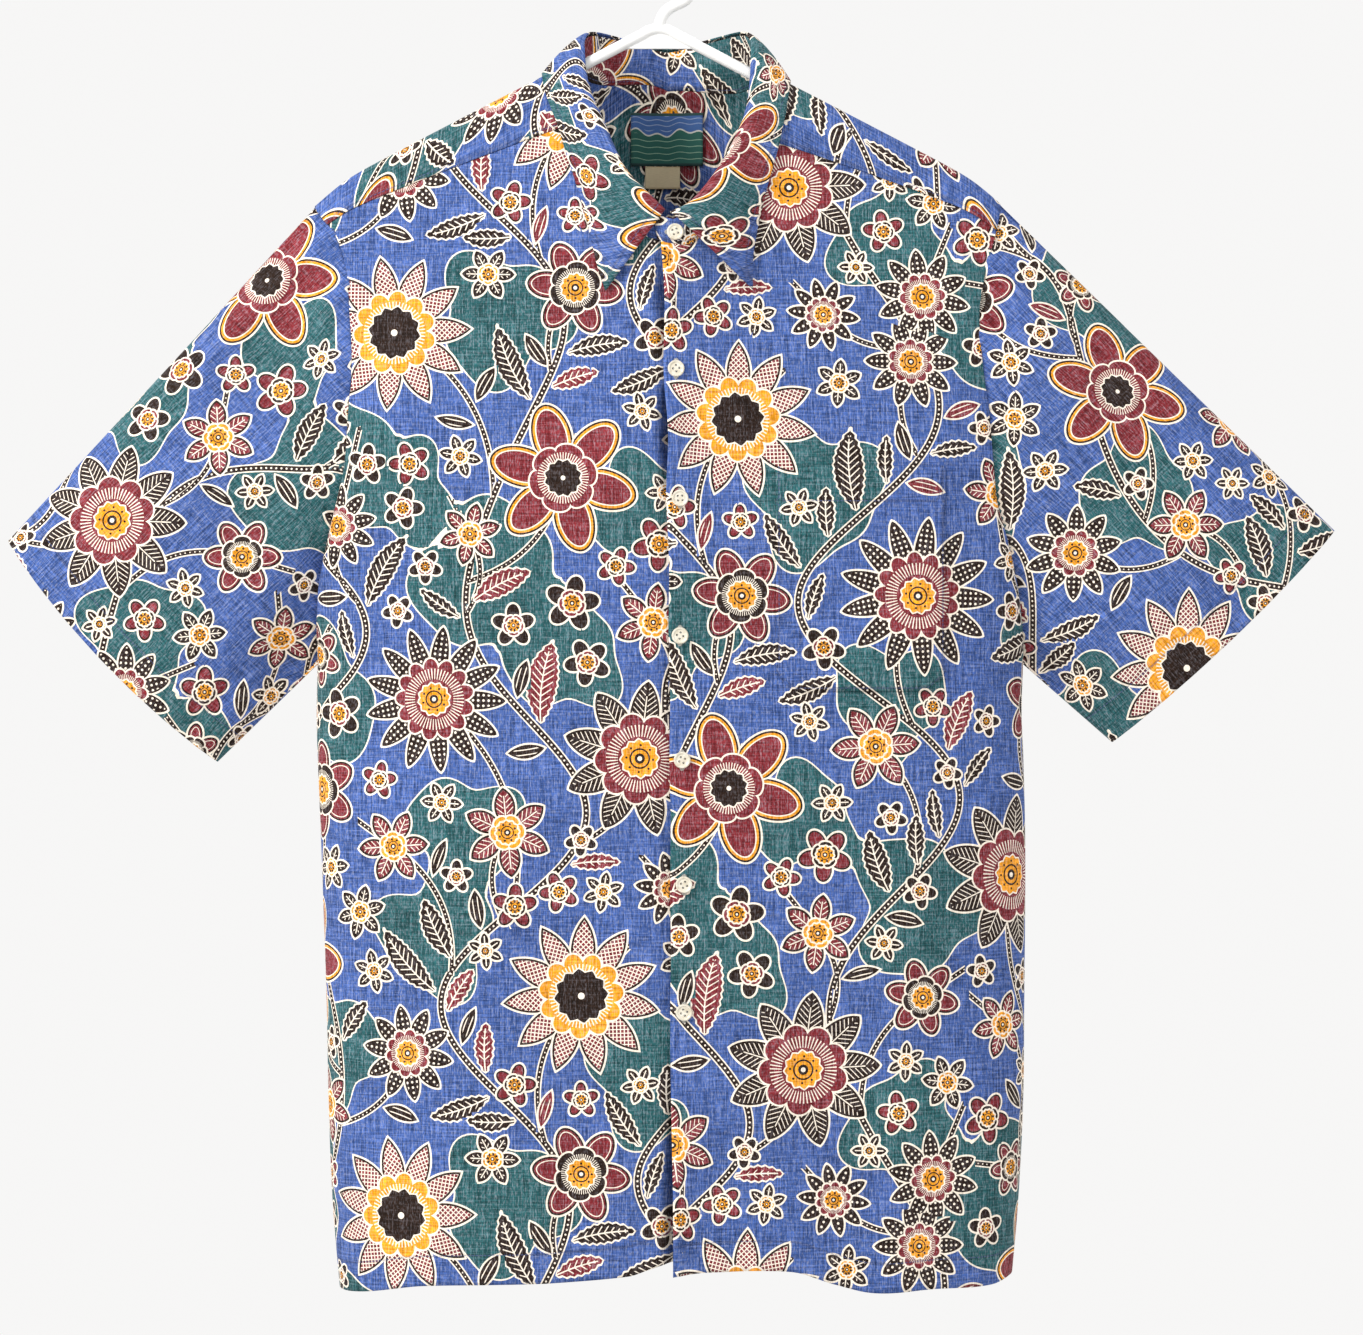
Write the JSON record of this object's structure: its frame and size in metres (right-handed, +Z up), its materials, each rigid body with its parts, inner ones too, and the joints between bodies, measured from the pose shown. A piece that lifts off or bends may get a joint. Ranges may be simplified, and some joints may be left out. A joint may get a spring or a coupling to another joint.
{
  "type": "hawaiian shirt on a hanger",
  "caption": "Short-sleeved aloha shirt in a blue and green tropical print, buttoned up, with an open collar and a chest pocket, hanging on a plain tubular hanger",
  "frame": {"origin": "inside top of the hanger's hook, where a rail carries it", "axes": "+Z up, the front of the shirt faces -Y, +X to the right as seen from the front (the wearer's left)"},
  "size_m": [0.915, 0.1427, 0.9324],
  "materials": {
    "print": "plain-woven cotton with a slub, printed in blue, green, brown and ochre with cream outlines",
    "hanger": "smooth white",
    "button": "pearly, slightly mottled, with four holes",
    "label": "woven, blue above and green below, no wording",
    "tab": "woven, bare"
  },
  "bodies": {
    "root": {"hanger": "hanger", "back_panel": "print", "yoke": "print", "front_right": "print", "front_left": "print", "sleeve_right": "print", "sleeve_left": "print", "collar_stand": "print", "collar_leaf": "print", "pocket": "print", "label": "label", "size_tab": "tab", "button_1": "button", "button_2": "button", "button_3": "button", "button_4": "button", "button_5": "button", "button_6": "button", "button_7": "button"}
  },
  "joints": []
}
